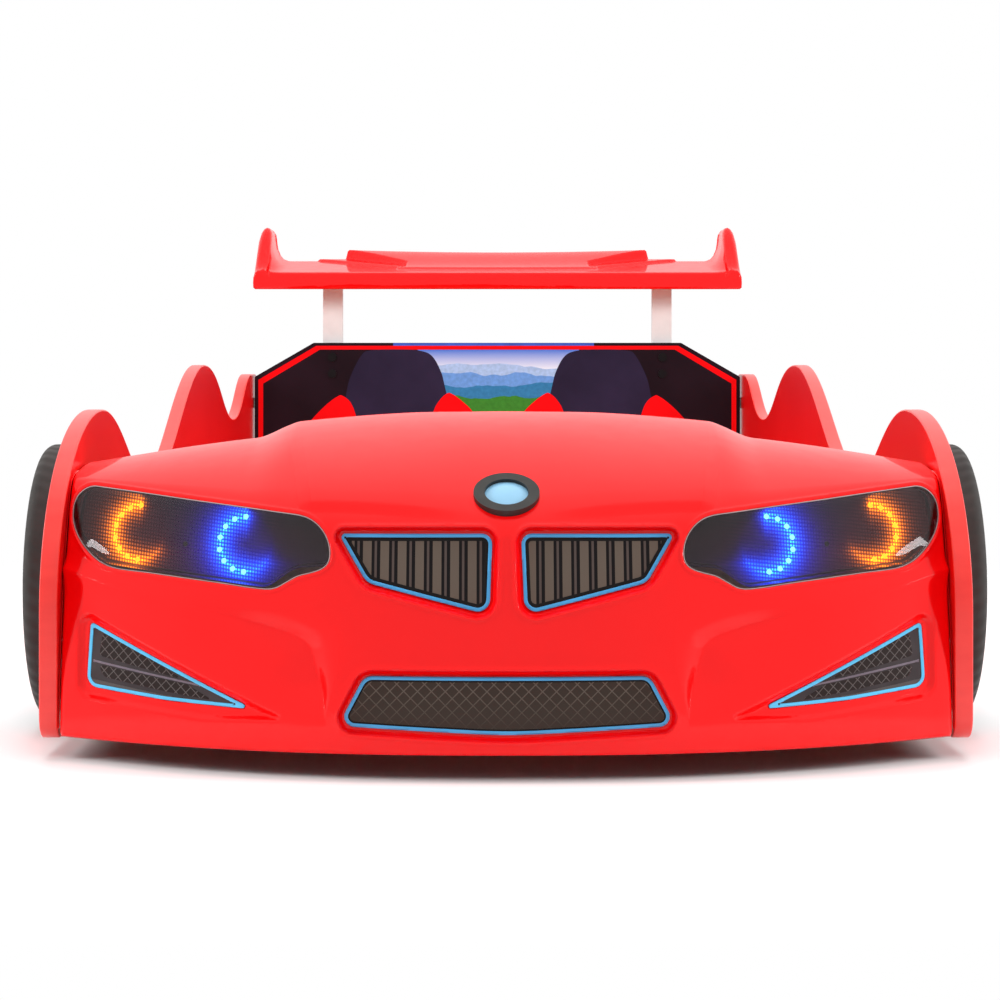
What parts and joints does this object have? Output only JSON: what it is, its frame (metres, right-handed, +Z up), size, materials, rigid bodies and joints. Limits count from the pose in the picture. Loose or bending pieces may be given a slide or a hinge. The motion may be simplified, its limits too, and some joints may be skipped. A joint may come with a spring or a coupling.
{
  "type": "child's car bed",
  "caption": "Low red car-shaped bed for a child: glossy bonnet and bumper shell with lit headlights, wavy side panels, wheels, slatted base, printed headboard and a rear wing.",
  "frame": {"origin": "on the floor, under the middle of the overall bounding box", "axes": "+Z up, +Y from the bonnet to the headboard, +X to the right for somebody who looks at the bonnet"},
  "size_m": [1.05, 2.3442, 0.673],
  "materials": {
    "red_mdf": "sprayed red lacquer on fibreboard, satin gloss",
    "red_plastic": "high-gloss red vacuum-formed plastic",
    "printed_board": "fibreboard with a satin print on its front",
    "raw_board": "raw fibreboard",
    "white_board": "white laminated board",
    "black_metal": "black",
    "zinc_steel": "zinc plated",
    "pine": "planed, unfinished",
    "black_plastic": "fine moulded texture",
    "lamp_tray": "dark reflector with a fine grid",
    "smoked_lens": "smoked clear plastic, polished",
    "circuit_strip": "lacquered circuit strip",
    "amber_light": "lit amber lamp",
    "blue_light": "lit blue lamp",
    "grille_print": "printed plate with a light-blue border",
    "badge_black": "gloss",
    "badge_silver": "gloss, domed",
    "tyre_plastic": "matt, tyre-like",
    "rim_silver": "silver paint",
    "cap_black": "gloss",
    "inlet_black": "moulded",
    "cable_black": "round sheath"
  },
  "bodies": {
    "bed": {"badge_disc": "badge_silver", "badge_ring": "badge_black", "cable_clips": "black_plastic", "centre_beam": "pine", "control_box_base": "black_plastic", "control_box_lid": "black_plastic", "corner_brackets": "zinc_steel", "dc_inlet": "inlet_black", "floor_feet": "black_plastic", "front_bulkhead": "raw_board", "front_shell": "red_plastic", "grille_inlay_lower": "grille_print", "grille_inlay_upper_left": "grille_print", "grille_inlay_upper_right": "grille_print", "headboard": "printed_board", "headlight_housing_left": "lamp_tray", "headlight_housing_right": "lamp_tray", "headlight_lens_left": "smoked_lens", "headlight_lens_right": "smoked_lens", "hub_caps": "cap_black", "intake_inlay_left": "grille_print", "intake_inlay_right": "grille_print", "lamp_leads": "cable_black", "led_strip_amber_left": "circuit_strip", "led_strip_amber_right": "circuit_strip", "led_strip_blue_left": "circuit_strip", "led_strip_blue_right": "circuit_strip", "leds_amber": "amber_light", "leds_blue": "blue_light", "mattress_rail_left": "pine", "mattress_rail_right": "pine", "rear_wing": "red_plastic", "side_panel_left": "red_mdf", "side_panel_right": "red_mdf", "slat_01": "pine", "slat_02": "pine", "slat_03": "pine", "slat_04": "pine", "slat_05": "pine", "slat_06": "pine", "slat_07": "pine", "slat_08": "pine", "slat_09": "pine", "slat_10": "pine", "slat_screws": "zinc_steel", "support_legs": "pine", "tyre_front_left": "tyre_plastic", "tyre_front_right": "tyre_plastic", "tyre_rear_left": "tyre_plastic", "tyre_rear_right": "tyre_plastic", "wheel_rim_front_left": "rim_silver", "wheel_rim_front_right": "rim_silver", "wheel_rim_rear_left": "rim_silver", "wheel_rim_rear_right": "rim_silver", "wheel_screws": "zinc_steel", "wing_bolts": "black_metal", "wing_post_left": "white_board", "wing_post_right": "white_board", "wood_screws": "zinc_steel"},
    "rocker": {"rocker_switch": "black_plastic"}
  },
  "joints": [
    {"name": "rocker_tilt", "type": "hinge", "parent": "bed", "child": "rocker", "pos_m": [0.125, -0.86847, 0.305], "axis": [1, 0, 0], "range_deg": [0, 20]}
  ]
}
